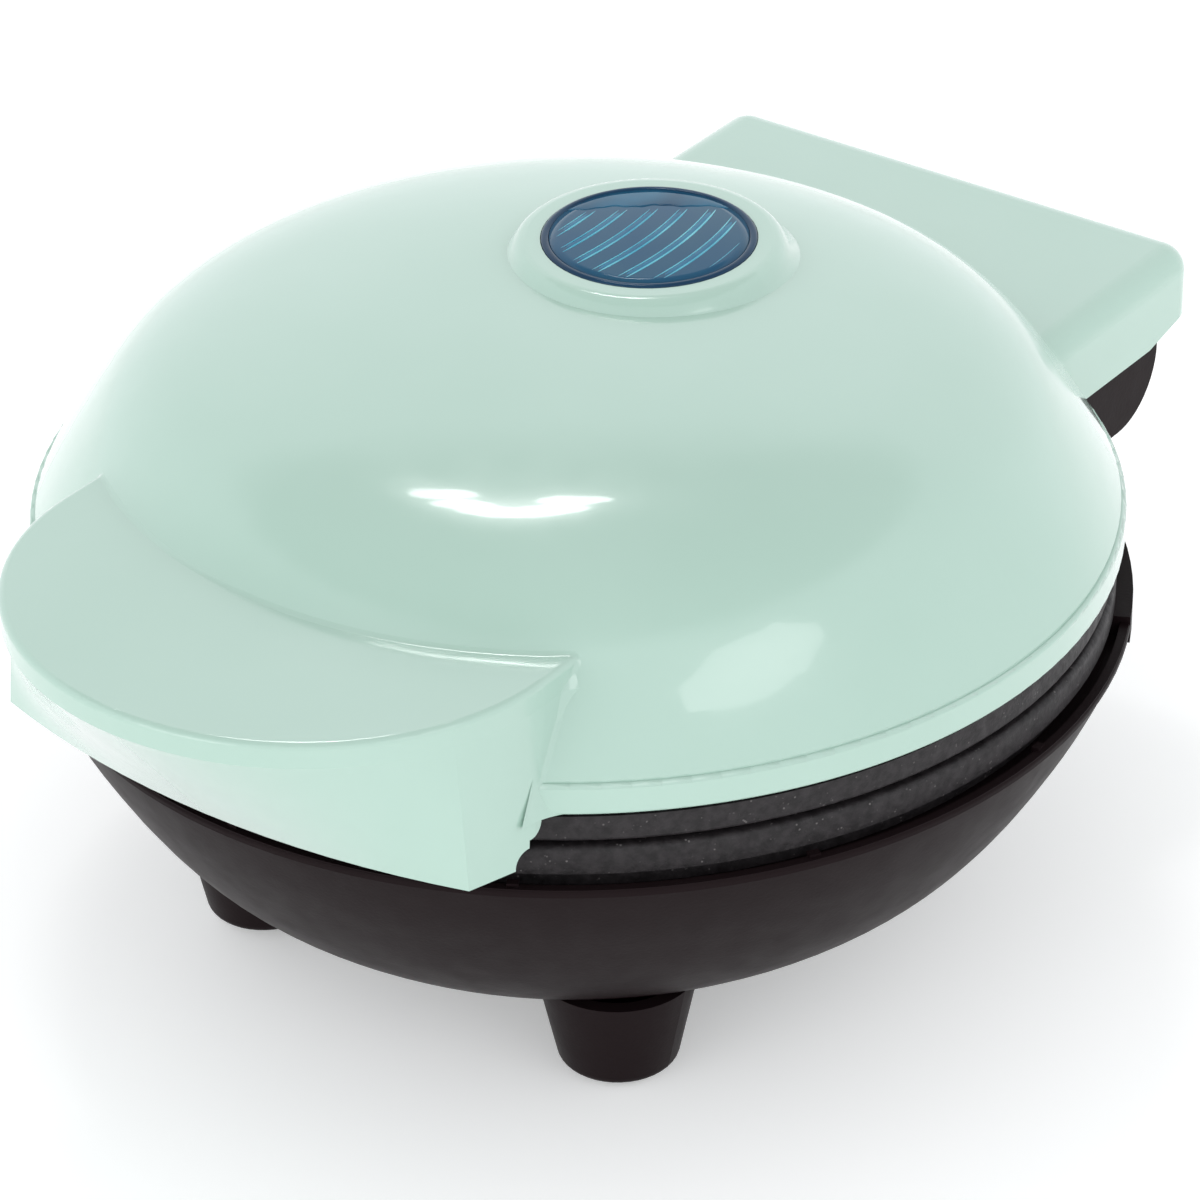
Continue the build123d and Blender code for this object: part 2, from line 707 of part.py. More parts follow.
def handle_underside_cut():
    """Cutter that lifts the handle's lower edge to the rim in an S-curve."""
    foot = (-71.6, HANDLE_BOTTOM)
    top = (-66.4, LID_RIM_Z)
    with BuildSketch(Plane.YZ) as sketch:
        with BuildLine():
            Polyline((-71.6, 50), foot)
            RadiusArc(foot, (-69.1, 58.2), 2.6)
            Line((-69.1, 58.2), (-68.9, 59.3))
            RadiusArc((-68.9, 59.3), top, -2.6)
            Polyline(top, (0, LID_RIM_Z), (0, 50), (-71.6, 50))
        make_face()
    return extrude(sketch.sketch, 60, both=True)


def dome_and_handle():
    """Outside of the dome and handle, with hollow roundings where they meet."""
    dome = dome_solid(0)
    handle = handle_solid(0)
    top_edges = handle.faces().sort_by(Axis.Z)[-1].outer_wire().edges()
    handle = fillet(top_edges.filter_by_position(Axis.Y, -110, -60), GRIP_EDGE_R)
    form = dome + handle
    seam = new_edges(dome, handle, combined=form)
    form = fillet([edge for edge in seam if edge.bounding_box().max.Z > LID_BAND_TOP], GRIP_SEAM_R)
    for side in (-1, 1):
        form += handle_flare(side)
    return form


def flare_outline(side, z, wall_x, dome_r, radius):
    """Plan of a flare at one height: a hollow curve that touches the handle's side and the dome."""
    x = wall_x + radius
    y = -math.sqrt((dome_r + radius) ** 2 - x ** 2)
    share = dome_r / (dome_r + radius)
    turn = (math.pi + math.atan2(-y, -x)) / 2
    start = (side * wall_x, y)
    middle = (side * (x + radius * math.cos(turn)), y + radius * math.sin(turn))
    end = (side * x * share, y * share)
    root = (side * (wall_x - 5), y + 10)
    with BuildSketch(Plane.XY.offset(z)) as sketch:
        with BuildLine():
            ThreePointArc(start, middle, end)
            Line(end, root)
            Line(root, start)
        make_face()
    return sketch.sketch


def handle_flare(side):
    """Hollow curve between the handle's side and the dome, up to the grip's top."""
    outlines = [flare_outline(side, *row) for row in FLARE_ROWS]
    return loft(outlines[:2]) + loft(outlines[1:])


def cover_solid():
    """Outer form of the hinge cover."""
    body = block((-COVER_HALF, COVER_HALF), (50, COVER_REAR), (COVER_BOTTOM, COVER_TOP))
    body = fillet(body.edges().filter_by(Axis.Z).group_by(Axis.Y)[-1], COVER_CORNER_R)
    rim = body.faces().sort_by(Axis.Z)[-1].outer_wire().edges()
    body = fillet(rim.filter_by_position(Axis.Y, 60, COVER_REAR + 1), COVER_EDGE_R)
    with BuildSketch(Plane.YZ) as chin:
        with BuildLine():
            Polyline((89, 50), (89, COVER_BOTTOM), (COVER_REAR, CHIN_Z), (106, CHIN_Z), (106, 50), close=True)
        make_face()
    return body - extrude(chin.sketch, 50, both=True)


def cover_hollow():
    """Room inside the hinge cover for the hinge block, open below."""
    return block(
        (-COVER_HALF + 2.1, COVER_HALF - 2.1),
        (60, COVER_REAR - 1.5),
        (40, COVER_TOP - 2.1),
    )


def hinge_arm(side):
    """Arm from the rear of the dome to the hinge pin."""
    inner = min(side * ARM_INNER_X, side * ARM_OUTER_X)
    outer = max(side * ARM_INNER_X, side * ARM_OUTER_X)
    with BuildSketch(Plane.YZ.offset(inner)) as sketch:
        with Locations((AXIS_Y, AXIS_Z)):
            Circle(ARM_BOSS_R)
        with Locations((71.5, 64.2)):
            Rectangle(3.0, 3.6)
        make_hull()
    return extrude(sketch.sketch, outer - inner)


def collar_solid():
    """Raised level collar round the lens."""
    with BuildSketch(Plane.XZ) as sketch:
        with BuildLine():
            Polyline((0, 90), (0, COLLAR_TOP), (COLLAR_R - 1.2, COLLAR_TOP))
            Spline(
                (COLLAR_R - 1.2, COLLAR_TOP),
                (COLLAR_R + 1.2, COLLAR_TOP - 1.9),
                (COLLAR_R + 5.5, COLLAR_TOP - 5.6),
                tangents=[(1, 0), (1, -0.55)],
            )
            Polyline((COLLAR_R + 5.5, COLLAR_TOP - 5.6), (COLLAR_R + 5.5, 90), (0, 90))
        make_face()
    return Pos(0, LENS_Y, 0) * revolve(sketch.sketch, Axis.Z)


def lid_shell():
    """Dome, rim band, handle, lens collar and hinge cover in one moulding."""
    cover = cover_solid()
    shell = dome_and_handle() + cover + collar_solid()

    shell -= handle_solid(WALL) - dome_solid(0)
    shell -= cover_hollow() - dome_solid(0)
    shell -= dome_solid(WALL)
    shell -= upright(LID_R - WALL, 40, LID_BAND_TOP)
    shell -= upright(LID_R, 40, LID_RIM_Z)
    shell -= handle_underside_cut()
    shell += rim_band()
    for side in (-1, 1):
        shell += hinge_arm(side)
        shell -= lateral(BUSH_R, side * 33 - 4, side * 33 + 4, AXIS_Y, AXIS_Z)
    shell -= upright(LENS_R + 0.1, LENS_SEAT, 110, (0, LENS_Y))
    shell -= upright(LAMP_BORE_R, 88, 110, (0, LENS_Y))
    shell -= lead(HINGE_LEAD_ROUTE[1:], SLEEVE_R + 0.3)
    return shell


def hinge_bushes():
    """Plain bushes that turn on the hinge pins."""
    bushes = []
    for side in (-1, 1):
        span = sorted((side * ARM_INNER_X, side * ARM_OUTER_X))
        bush = lateral(BUSH_R, *span, AXIS_Y, AXIS_Z)
        bushes.append(bush - lateral(PIN_R + PIN_CLEARANCE, *span, AXIS_Y, AXIS_Z))
    return bushes


def signal_lens():
    """Shallow clear cap over the lamp."""
    with BuildSketch(Plane.XZ) as sketch:
        with BuildLine():
            ThreePointArc((0, LENS_TOP + 0.7), (LENS_R * 0.5, LENS_TOP + 0.5), (LENS_R - 0.9, LENS_TOP - 0.1))
            Polyline(
                (LENS_R - 0.9, LENS_TOP - 0.1),
                (LENS_R, LENS_TOP - 0.9),
                (LENS_R, LENS_SEAT),
                (0, LENS_SEAT),
                (0, LENS_TOP + 0.7),
            )
        make_face()
    return Pos(0, LENS_Y, 0) * revolve(sketch.sketch, Axis.Z)


def lamp_housing():
    """Round cup under the lens that holds the lamp."""
    spot = (0, LENS_Y)
    body = upright(LAMP_BORE_R - 0.2, LAMP_FLOOR, LENS_SEAT - 0.1, spot)
    body -= upright(LAMP_BORE_R - 1.6, LAMP_FLOOR + 1.4, LENS_SEAT + 1, spot)
    for x in (-3, 3):
        body -= upright(LEAD_R + 0.2, LAMP_FLOOR - 1, LAMP_FLOOR + 2, (x, LENS_Y + 6))
    return body


def neon_lamp():
    """Small glass lamp lying across the cup."""
    body = lateral(2.3, -5, 5, LENS_Y, LAMP_FLOOR + 4.5)
    for x in (-5, 5):
        body += Pos(x, LENS_Y, LAMP_FLOOR + 4.5) * Sphere(2.3)
    return body


def lamp_resistor():
    """Ballast resistor beside the lamp."""
    body = lateral(1.4, -3.5, 3.5, LENS_Y - 6, LAMP_FLOOR + 3.2)
    return fillet(body.edges().filter_by(GeomType.CIRCLE), 0.5)


def upper_leads():
    """Leads from the lid's terminal block to the upper element and to the lamp."""
    pin_x, pin_y = polar(HEATER_R, 90 - (360 - HEATER_SWEEP) / 2)
    pin_end = PART_Z + SHIELD_OFFSET + 10.1
    front = UPPER_TERMINAL_Y[0] - 0.2
    leads = []
    for side in (-1, 1):
        leads.append(lead([
            (side * 6.0, front, 79.5),
            (side * 6.0, front - 2, 79.5),
            (side * pin_x, 37, 84.7),
            (side * pin_x, pin_y, 84.7),
            (side * pin_x, pin_y, pin_end),
        ]))
        leads.append(lead([
            (side * 3.0, front, 84.0),
            (side * 3.0, LENS_Y + 6, 84.0),
            (side * 3.0, LENS_Y + 6, LAMP_FLOOR + 2.6),
        ]))
    return leads


def hinge_leads_lid():
    """Sleeved leads from the middle of the hinge line to the lid's terminal block."""
    return lead(HINGE_LEAD_ROUTE, SLEEVE_R)


def build_all():
    """Every node's name and shape; a list is a group of separate solids."""
    return {
        "base_shell": base_shell(),
        "foot_pads": foot_pads(),
        "base_screws": base_screws(),
        "lower_plate": placed_lower(plate_solid(LOWER_PLATE_R, BASE_SCREW_ANGLES)),
        "lower_heater": placed_lower(heater_solid()),
        "lower_heat_shield": placed_lower(shield_solid(SHIELD_R, BASE_SCREW_ANGLES)),
        "lower_shield_screws": [placed_lower(item) for item in shield_screws()],
        "thermostat": placed_lower(thermostat_solid()),
        "thermal_fuse": placed_lower(thermal_fuse()),
        "fuse_clip": placed_lower(fuse_clip()),
        "terminal_block": terminal_body(TERMINAL_Y, TERMINAL_Z, 14, TERMINAL_POLES, 2.05),
        "terminal_screws": terminal_screws(),
        "lower_leads": lower_leads(),
        "cord_gland": cord_gland(),
        "cord_clamp": cord_clamp(),
        "cord_clamp_screws": clamp_screws(),
        "hinge_pins": hinge_pins(),
        "hinge_leads_base": hinge_leads_base(),
        "lid_shell": lid_shell(),
        "upper_plate": placed_upper(plate_solid(PLATE_R, ())),
        "upper_heater": placed_upper(heater_solid()),
        "upper_heat_shield": placed_upper(shield_solid(SHIELD_R, ())),
        "upper_shield_screws": [placed_upper(item) for item in shield_screws()],
        "upper_terminal_block": terminal_body(UPPER_TERMINAL_Y, UPPER_TERMINAL_Z, 9, (-6.0, 6.0), 1.4),
        "upper_leads": upper_leads(),
        "hinge_leads_lid": hinge_leads_lid(),
        "hinge_bushes": hinge_bushes(),
        "indicator_lens": signal_lens(),
        "lamp_housing": lamp_housing(),
        "neon_lamp": neon_lamp(),
        "lamp_resistor": lamp_resistor(),
    }


os.makedirs("parts", exist_ok=True)
for name, shape in build_all().items():
    if isinstance(shape, list):
        shape = Compound(children=shape)
    export_step(shape, f"parts/{name}.step")
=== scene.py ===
import bpy
import bmesh
import json
import math
from mathutils import Matrix, Vector

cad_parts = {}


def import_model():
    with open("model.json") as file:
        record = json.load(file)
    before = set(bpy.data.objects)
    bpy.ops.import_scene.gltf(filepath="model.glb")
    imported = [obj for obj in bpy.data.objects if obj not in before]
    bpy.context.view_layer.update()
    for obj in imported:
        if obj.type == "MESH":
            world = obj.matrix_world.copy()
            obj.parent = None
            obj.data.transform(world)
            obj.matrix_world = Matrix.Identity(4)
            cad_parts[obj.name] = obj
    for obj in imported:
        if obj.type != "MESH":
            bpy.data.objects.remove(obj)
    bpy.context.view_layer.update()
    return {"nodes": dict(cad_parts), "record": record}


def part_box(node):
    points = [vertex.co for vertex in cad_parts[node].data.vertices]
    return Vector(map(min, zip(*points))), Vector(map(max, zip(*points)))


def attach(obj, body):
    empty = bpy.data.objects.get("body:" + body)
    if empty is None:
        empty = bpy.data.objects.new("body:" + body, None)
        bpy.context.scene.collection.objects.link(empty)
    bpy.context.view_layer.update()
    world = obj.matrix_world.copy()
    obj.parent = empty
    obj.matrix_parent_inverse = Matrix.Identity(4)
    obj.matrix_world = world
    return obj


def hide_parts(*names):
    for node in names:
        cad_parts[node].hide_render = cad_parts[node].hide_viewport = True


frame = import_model()
record = frame["record"]
nodes = frame["nodes"]

MM = 0.001


# ---------------------------------------------------------------- shader helpers

class Shader:
    """Small helper that builds one material's node tree."""

    def __init__(self, name):
        self.material = bpy.data.materials.new(name)
        self.material.use_nodes = True
        self.tree = self.material.node_tree
        self.surface = self.tree.nodes["Principled BSDF"]
        self.point = self.tree.nodes.new("ShaderNodeTexCoord").outputs["Object"]

    def add(self, kind, **settings):
        node = self.tree.nodes.new(kind)
        for name, value in settings.items():
            setattr(node, name, value)
        return node

    def link(self, source, target):
        self.tree.links.new(source, target)

    def set(self, **values):
        for name, value in values.items():
            self.surface.inputs[name.replace("_", " ")].default_value = value

    def noise(self, scale, detail=2.0, roughness=0.5, distortion=0.0):
        node = self.add("ShaderNodeTexNoise")
        node.inputs["Scale"].default_value = scale
        node.inputs["Detail"].default_value = detail
        node.inputs["Roughness"].default_value = roughness
        node.inputs["Distortion"].default_value = distortion
        self.link(self.point, node.inputs["Vector"])
        return node.outputs["Fac"]

    def spots(self, scale):
        node = self.add("ShaderNodeTexVoronoi")
        node.inputs["Scale"].default_value = scale
        self.link(self.point, node.inputs["Vector"])
        return node

    def spread(self, source, low, high, out_low, out_high):
        node = self.add("ShaderNodeMapRange")
        self.link(source, node.inputs["Value"])
        for name, value in (
            ("From Min", low), ("From Max", high), ("To Min", out_low), ("To Max", out_high)
        ):
            node.inputs[name].default_value = value
        return node.outputs["Result"]

    def times(self, a, b):
        node = self.add("ShaderNodeMath", operation="MULTIPLY")
        self.link(a, node.inputs[0])
        self.link(b, node.inputs[1])
        return node.outputs[0]

    def mix(self, factor, first, second):
        node = self.add("ShaderNodeMix", data_type="RGBA")
        self.link(factor, node.inputs["Factor"])
        for socket, value in ((node.inputs["A"], first), (node.inputs["B"], second)):
            if isinstance(value, tuple):
                socket.default_value = (*value, 1.0)
            else:
                self.link(value, socket)
        return node.outputs["Result"]

    def bump(self, height, strength, distance):
        node = self.add("ShaderNodeBump")
        node.inputs["Strength"].default_value = strength
        node.inputs["Distance"].default_value = distance
        self.link(height, node.inputs["Height"])
        self.link(node.outputs["Normal"], self.surface.inputs["Normal"])
        return node


# ---------------------------------------------------------------- materials

def lid_plastic(name):
    s = Shader(name)
    tone = s.spread(s.noise(28, 3), 0.3, 0.7, 0.0, 1.0)
    s.link(s.mix(tone, (0.395, 0.562, 0.482), (0.418, 0.582, 0.505)), s.surface.inputs["Base Color"])
    s.link(s.spread(s.noise(160, 4), 0.3, 0.7, 0.15, 0.22), s.surface.inputs["Roughness"])
    s.bump(s.noise(420, 2), 0.04, 0.0002)
    s.set(Coat_Weight=0.8, Coat_Roughness=0.05, IOR=1.5)
    return s.material


def base_plastic(name):
    s = Shader(name)
    tone = s.spread(s.noise(35, 3), 0.3, 0.7, 0.0, 1.0)
    s.link(s.mix(tone, (0.0098, 0.0056, 0.0064), (0.0116, 0.0070, 0.0078)), s.surface.inputs["Base Color"])
    s.link(s.spread(s.noise(220, 4), 0.3, 0.7, 0.40, 0.46), s.surface.inputs["Roughness"])
    s.bump(s.noise(1700, 2), 0.10, 0.0002)
    s.set(Specular_IOR_Level=0.06, Specular_Tint=(1.0, 0.90, 0.91, 1.0))
    return s.material


def nonstick_plate(name):
    s = Shader(name)
    flecks = s.spots(1500)
    size = s.spread(flecks.outputs["Distance"], 0.16, 0.30, 1.0, 0.0)
    chosen = s.spread(s.noise(900, 1), 0.58, 0.68, 0.0, 1.0)
    fleck = s.times(size, chosen)
    tone = s.spread(s.noise(700, 3), 0.35, 0.65, 0.0, 1.0)
    ground = s.mix(tone, (0.012, 0.010, 0.011), (0.026, 0.022, 0.024))
    s.link(s.mix(fleck, ground, (0.11, 0.10, 0.10)), s.surface.inputs["Base Color"])
    s.link(s.spread(s.noise(600, 3), 0.3, 0.7, 0.42, 0.62), s.surface.inputs["Roughness"])
    s.bump(s.noise(1400, 3), 0.35, 0.0003)
    s.set(Specular_IOR_Level=0.3)
    return s.material


def blue_glaze(name, low, high, transmission):
    """Clear blue moulding at one depth of colour."""
    s = Shader(name)
    tone = s.spread(s.noise(90, 2), 0.3, 0.7, 0.0, 1.0)
    s.link(s.mix(tone, low, high), s.surface.inputs["Base Color"])
    s.link(s.spread(s.noise(150, 2), 0.3, 0.7, 0.03, 0.07), s.surface.inputs["Roughness"])
    s.set(Transmission_Weight=transmission, IOR=1.49, Specular_IOR_Level=0.2)
    return s.material


def lens_blue(name):
    return blue_glaze(name, (0.010, 0.100, 0.215), (0.022, 0.118, 0.215), 0.3)


def simple_material(low, high, rough, metallic=0.0, grain=300.0, bump=0.1, **extra):
    """Colour and roughness that vary a little over the surface, with a fine grain."""
    def make(name):
        s = Shader(name)
        tone = s.spread(s.noise(grain, 3), 0.3, 0.7, 0.0, 1.0)
        s.link(s.mix(tone, low, high), s.surface.inputs["Base Color"])
        s.link(s.spread(s.noise(grain * 1.7, 3), 0.3, 0.7, *rough), s.surface.inputs["Roughness"])
        s.bump(s.noise(grain * 4, 2), bump, 0.0002)
        s.set(Metallic=metallic, **extra)
        return s.material
    return make


MATERIALS = {
    "base_plastic": base_plastic,
    "pad_rubber": simple_material((0.012, 0.012, 0.012), (0.02, 0.02, 0.02), (0.6, 0.8)),
    "screw_steel": simple_material((0.5, 0.5, 0.51), (0.62, 0.62, 0.63), (0.25, 0.4), 1.0),
    "nonstick_plate": nonstick_plate,
    "element_steel": simple_material((0.22, 0.21, 0.2), (0.34, 0.32, 0.3), (0.4, 0.55), 1.0),
    "shield_aluminium": simple_material((0.74, 0.74, 0.75), (0.82, 0.82, 0.83), (0.22, 0.36), 1.0),
    "thermostat_steel": simple_material((0.5, 0.5, 0.5), (0.6, 0.6, 0.6), (0.3, 0.4), 1.0),
    "fuse_sleeve": simple_material((0.66, 0.63, 0.55), (0.78, 0.75, 0.68), (0.5, 0.7)),
    "terminal_ceramic": simple_material((0.80, 0.78, 0.72), (0.87, 0.85, 0.80), (0.45, 0.6)),
    "terminal_brass": simple_material((0.70, 0.53, 0.24), (0.78, 0.60, 0.30), (0.25, 0.4), 1.0),
    "lead_sleeve": simple_material((0.68, 0.66, 0.62), (0.78, 0.76, 0.72), (0.4, 0.55)),
    "gland_rubber": simple_material((0.014, 0.014, 0.014), (0.022, 0.022, 0.022), (0.5, 0.7)),
    "pin_steel": simple_material((0.6, 0.6, 0.6), (0.68, 0.68, 0.68), (0.15, 0.25), 1.0),
    "lead_braid": simple_material((0.55, 0.53, 0.47), (0.75, 0.72, 0.66), (0.6, 0.8), bump=0.5),
    "lid_plastic": lid_plastic,
    "lens_blue": lens_blue,
    "lamp_cup_plastic": simple_material((0.05, 0.045, 0.06), (0.08, 0.07, 0.09), (0.35, 0.5)),
    "lamp_glass": simple_material(
        (0.9, 0.6, 0.5), (0.95, 0.7, 0.6), (0.03, 0.06), Transmission_Weight=0.9
    ),
    "resistor_ceramic": simple_material((0.5, 0.42, 0.3), (0.62, 0.52, 0.38), (0.4, 0.6)),
}


def assign(obj, material):
    obj.data.materials.clear()
    obj.data.materials.append(material)


made = {slot: build(slot) for slot, build in MATERIALS.items()}
for part in record["subparts"]:
    assign(nodes[part["node"]], made[part["material_slot"]])


# ---------------------------------------------------------------- lens detail

LENS_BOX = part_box("indicator_lens")
LENS_CENTRE = Vector((
    (LENS_BOX[0][0] + LENS_BOX[1][0]) / 2,
    (LENS_BOX[0][1] + LENS_BOX[1][1]) / 2,
    0,
))
LENS_RADIUS = (LENS_BOX[1][0] - LENS_BOX[0][0]) / 2
LENS_TOP = LENS_BOX[1][2]
LENS_SEAT = LENS_BOX[0][2]
CROWN_DROP = 0.25 * MM      # centre of the lens face below the top of the box
CROWN_FALL = 0.55 * MM      # how much lower the face is at its edge
FACE_RADIUS = LENS_RADIUS - 1.2 * MM
AROUND = 96                 # points round a turned piece
ROOT_DEPTH = 0.3 * MM       # how far raised detail is sunk into the face
REAR = Vector((-0.6, 0.8, 0))       # from the middle of the face towards the painted reflection band at its rear, away from the camera
BESIDE = Vector((0.8, 0.6, 0))      # along the front edge of that band
BAND_START = 8.1 * MM       # the ribs stop here, short of the rear of the face, where the painted reflection band begins


def new_piece(name, mesh, material):
    """Finish a bmesh as an object that rides on the lid and stands for part of the lens."""
    data = bpy.data.meshes.new(name)
    bmesh.ops.recalc_face_normals(mesh, faces=mesh.faces)
    mesh.to_mesh(data)
    mesh.free()
    for polygon in data.polygons:
        polygon.use_smooth = True
    piece = bpy.data.objects.new(name, data)
    bpy.context.scene.collection.objects.link(piece)
    assign(piece, material)
    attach(piece, "lid")
    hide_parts("indicator_lens")
    return piece


def face_height(radius):
    """Height of the lens face at a distance from its middle."""
    return LENS_TOP - CROWN_DROP - CROWN_FALL * (radius / FACE_RADIUS) ** 2


def spin_profile(mesh, profile, closed):
    """Turn a profile of (radius, height) about the lens axis; closed joins its two ends."""
    rings = []
    for radius, height in profile:
        count = AROUND if radius > 0 else 1
        ring = []
        for index in range(count):
            angle = 2 * math.pi * index / count
            spot = Vector((radius * math.cos(angle), radius * math.sin(angle), height))
            ring.append(mesh.verts.new(LENS_CENTRE + spot))
        rings.append(ring)
    pairs = list(zip(rings, rings[1:]))
    if closed:
        pairs.append((rings[-1], rings[0]))
    for low, high in pairs:
        for index in range(AROUND):
            after = (index + 1) % AROUND
            corners = [low[index % len(low)], low[after % len(low)]]
            corners += [high[after % len(high)], high[index % len(high)]]
            mesh.faces.new(list(dict.fromkeys(corners)))


FACE_STEPS = 10             # rings of faces across the lens face
EDGE_STEPS = 8              # faces round the crown of the lens's edge
EDGE_RISE = 0.12 * MM       # crown of the edge above the rim of the face
EDGE_CROWN = 0.35 * MM      # height of the rounded part of the edge
EDGE_GAP = 0.02 * MM        # between the face and its edge


def lens_disc():
    """The domed face and body of the lens."""
    mesh = bmesh.new()
    profile = [(0, LENS_SEAT), (FACE_RADIUS, LENS_SEAT)]
    for step in range(FACE_STEPS, -1, -1):
        radius = FACE_RADIUS * step / FACE_STEPS
        profile.append((radius, face_height(radius)))
    spin_profile(mesh, profile, False)
    return new_piece("lens_disc", mesh, made["lens_blue"])


def lens_edge():
    """Thick rounded edge round the lens."""
    mesh = bmesh.new()
    shoulder = face_height(FACE_RADIUS) + EDGE_RISE - EDGE_CROWN
    inner = FACE_RADIUS + EDGE_GAP
    half_width = (LENS_RADIUS - inner) / 2
    profile = [(inner, LENS_SEAT), (LENS_RADIUS, LENS_SEAT)]
    for step in range(EDGE_STEPS + 1):
        angle = math.pi * step / EDGE_STEPS
        radius = inner + half_width * (1 + math.cos(angle))
        profile.append((radius, shoulder + EDGE_CROWN * math.sin(angle)))
    spin_profile(mesh, profile, True)
    material = blue_glaze("lens_edge_blue", (0.003, 0.036, 0.090), (0.005, 0.052, 0.120), 0.2)
    return new_piece("lens_edge", mesh, material)


RIB_COUNT = 7
RIB_PITCH = 4.05 * MM
RIB_FIRST = -10.9 * MM
RIB_BOW = 11.0              # how fast a rib curves away, per metre
RIB_BOW_MIDDLE = -3 * MM    # where along its length a rib runs straight
RIB_SECTIONS = 40
RIB_ACROSS = 6
RIB_SINK = 0.04 * MM        # a rib's edges lie this far inside the face
RIB_TAPER = 2.5 * MM        # length over which a rib runs out at the lens's edge
RIB_BAND_TAPER = 3.0 * MM   # and at the painted reflection band at the rear
BROAD_RIB = (0.0, 0.62 * MM, 0.07 * MM)         # offset, half width, height
FINE_RIBS = [(-0.56 * MM, 0.13 * MM, 0.15 * MM), (0.50 * MM, 0.19 * MM, 0.17 * MM)]


def close_rows(mesh, rows):
    """Skin a run of closed cross-sections and cap its two ends."""
    for near, far in zip(rows, rows[1:]):
        for index in range(len(near)):
            after = (index + 1) % len(near)
            mesh.faces.new((near[index], near[after], far[after], far[index]))
    for end_row in (rows[0], rows[-1]):
        mesh.faces.new(end_row)


def rib_strip(mesh, middle_x, half_width, height):
    """One bowed rib across the lens face, tapering to nothing at both ends."""
    reach = FACE_RADIUS - 0.5 * MM
    rows = []
    for section in range(RIB_SECTIONS + 1):
        y = reach * (2 * section / RIB_SECTIONS - 1)
        x = middle_x - RIB_BOW * (y - RIB_BOW_MIDDLE) ** 2
        to_edge = reach - math.hypot(x, y)
        to_band = BAND_START - REAR.dot((x, y, 0))
        if to_edge < 0 or to_band < 0:
            continue
        end = min(1.0, to_edge / RIB_TAPER, to_band / RIB_BAND_TAPER + 0.05)
        row = []
        for step in range(RIB_ACROSS + 1):
            share = 2 * step / RIB_ACROSS - 1
            spot_x = x + share * half_width * (0.35 + 0.65 * end)
            rise = height * end * math.cos(share * math.pi / 2)
            z = face_height(math.hypot(spot_x, y)) - RIB_SINK + rise
            row.append(mesh.verts.new(LENS_CENTRE + Vector((spot_x, y, z))))
        z = face_height(math.hypot(x, y)) - ROOT_DEPTH
        row.append(mesh.verts.new(LENS_CENTRE + Vector((x, y, z))))
        rows.append(row)
    close_rows(mesh, rows)


def lens_ribs():
    """Pairs of fine ribs with a broader one between them, on the face of the lens."""
    fine = bmesh.new()
    broad = bmesh.new()
    for index in range(RIB_COUNT):
        middle = RIB_FIRST + index * RIB_PITCH
        rib_strip(broad, middle + BROAD_RIB[0], *BROAD_RIB[1:])
        for offset, half_width, height in FINE_RIBS:
            rib_strip(fine, middle + offset, half_width, height)
    bright = blue_glaze("lens_rib_cyan", (0.03, 0.34, 0.52), (0.22, 0.66, 0.76), 0.1)
    deep = blue_glaze("lens_rib_blue", (0.012, 0.12, 0.25), (0.03, 0.22, 0.38), 0.2)
    new_piece("lens_ribs_fine", fine, bright)
    new_piece("lens_ribs_broad", broad, deep)


BAND_STEPS = 48
BAND_ACROSS = 6
BAND_RISE = 0.07 * MM
BAND_SINK = 0.01 * MM
BAND_WAVES = [(0.25 * MM, 900), (0.12 * MM, 2300)]      # height, radians per metre


def lens_rear_painted_reflection():
    """Painted reflection: a darker crescent at the rear of the face, square to the camera's line of sight,
    with a raised wavy front edge.
    """
    band = bmesh.new()
    reach = FACE_RADIUS - 0.15 * MM
    half = math.sqrt(reach ** 2 - BAND_START ** 2)
    rows = []
    for step in range(BAND_STEPS + 1):
        along = half * (2 * step / BAND_STEPS - 1) * 0.985
        far = math.sqrt(reach ** 2 - along ** 2)
        near = BAND_START + sum(height * math.sin(along * rate) for height, rate in BAND_WAVES)
        near = min(near, far - 0.02 * MM)
        middle = LENS_CENTRE + BESIDE * along
        row = []
        for index in range(BAND_ACROSS + 1):
            depth = near + (far - near) * index / BAND_ACROSS
            rise = BAND_RISE * math.sin(math.pi * index / BAND_ACROSS)
            z = face_height(math.hypot(along, depth)) + rise - BAND_SINK
            row.append(band.verts.new(middle + REAR * depth + Vector((0, 0, z))))
        depth = (near + far) / 2
        z = face_height(math.hypot(along, depth)) - ROOT_DEPTH
        row.append(band.verts.new(middle + REAR * depth + Vector((0, 0, z))))
        rows.append(row)
    close_rows(band, rows)
    # painted reflection: a darker blue crescent standing in for a reflection on the rear of the lens face
    material = blue_glaze("lens_painted_reflection_blue", (0.004, 0.05, 0.12), (0.02, 0.17, 0.30), 0.2)
    new_piece("lens_rear_painted_reflection", band, material)


lens_disc()
lens_edge()
lens_ribs()
# the rear band is a painted reflection, not a part of the lens
lens_rear_painted_reflection()


# ---------------------------------------------------------------- stage

FLOOR_SIZE = 8.0
FLOOR_Z = -0.0002           # just under the feet
FLOOR_GLOW = 0.30

CAMERA_AZIMUTH = 37.05      # degrees round from the front, towards +X
CAMERA_ELEVATION = 31.98
CAMERA_ROLL = -1.08
CAMERA_TARGET = Vector((0, 0, 0.0395))
CAMERA_DISTANCE = 0.7784    # from the target
CAMERA_LENS = 158.6         # mm
CAMERA_SHIFT = (0.016, 0.0357)

WALL_COLOUR = (1.20, 1.24, 1.26, 1)
CEILING_COLOUR = (0.66, 0.66, 0.66, 1)
WALL_TOP = (0.66, 0.76)     # sines of the elevations between which the walls turn into ceiling


def area_light(name, place, target, size, power):
    data = bpy.data.lights.new(name, "AREA")
    data.shape = "ELLIPSE"
    data.size = size[0]
    data.size_y = size[1]
    data.energy = power
    lamp = bpy.data.objects.new(name, data)
    lamp.location = place
    lamp.rotation_euler = (Vector(target) - Vector(place)).to_track_quat("-Z", "Y").to_euler()
    bpy.context.scene.collection.objects.link(lamp)


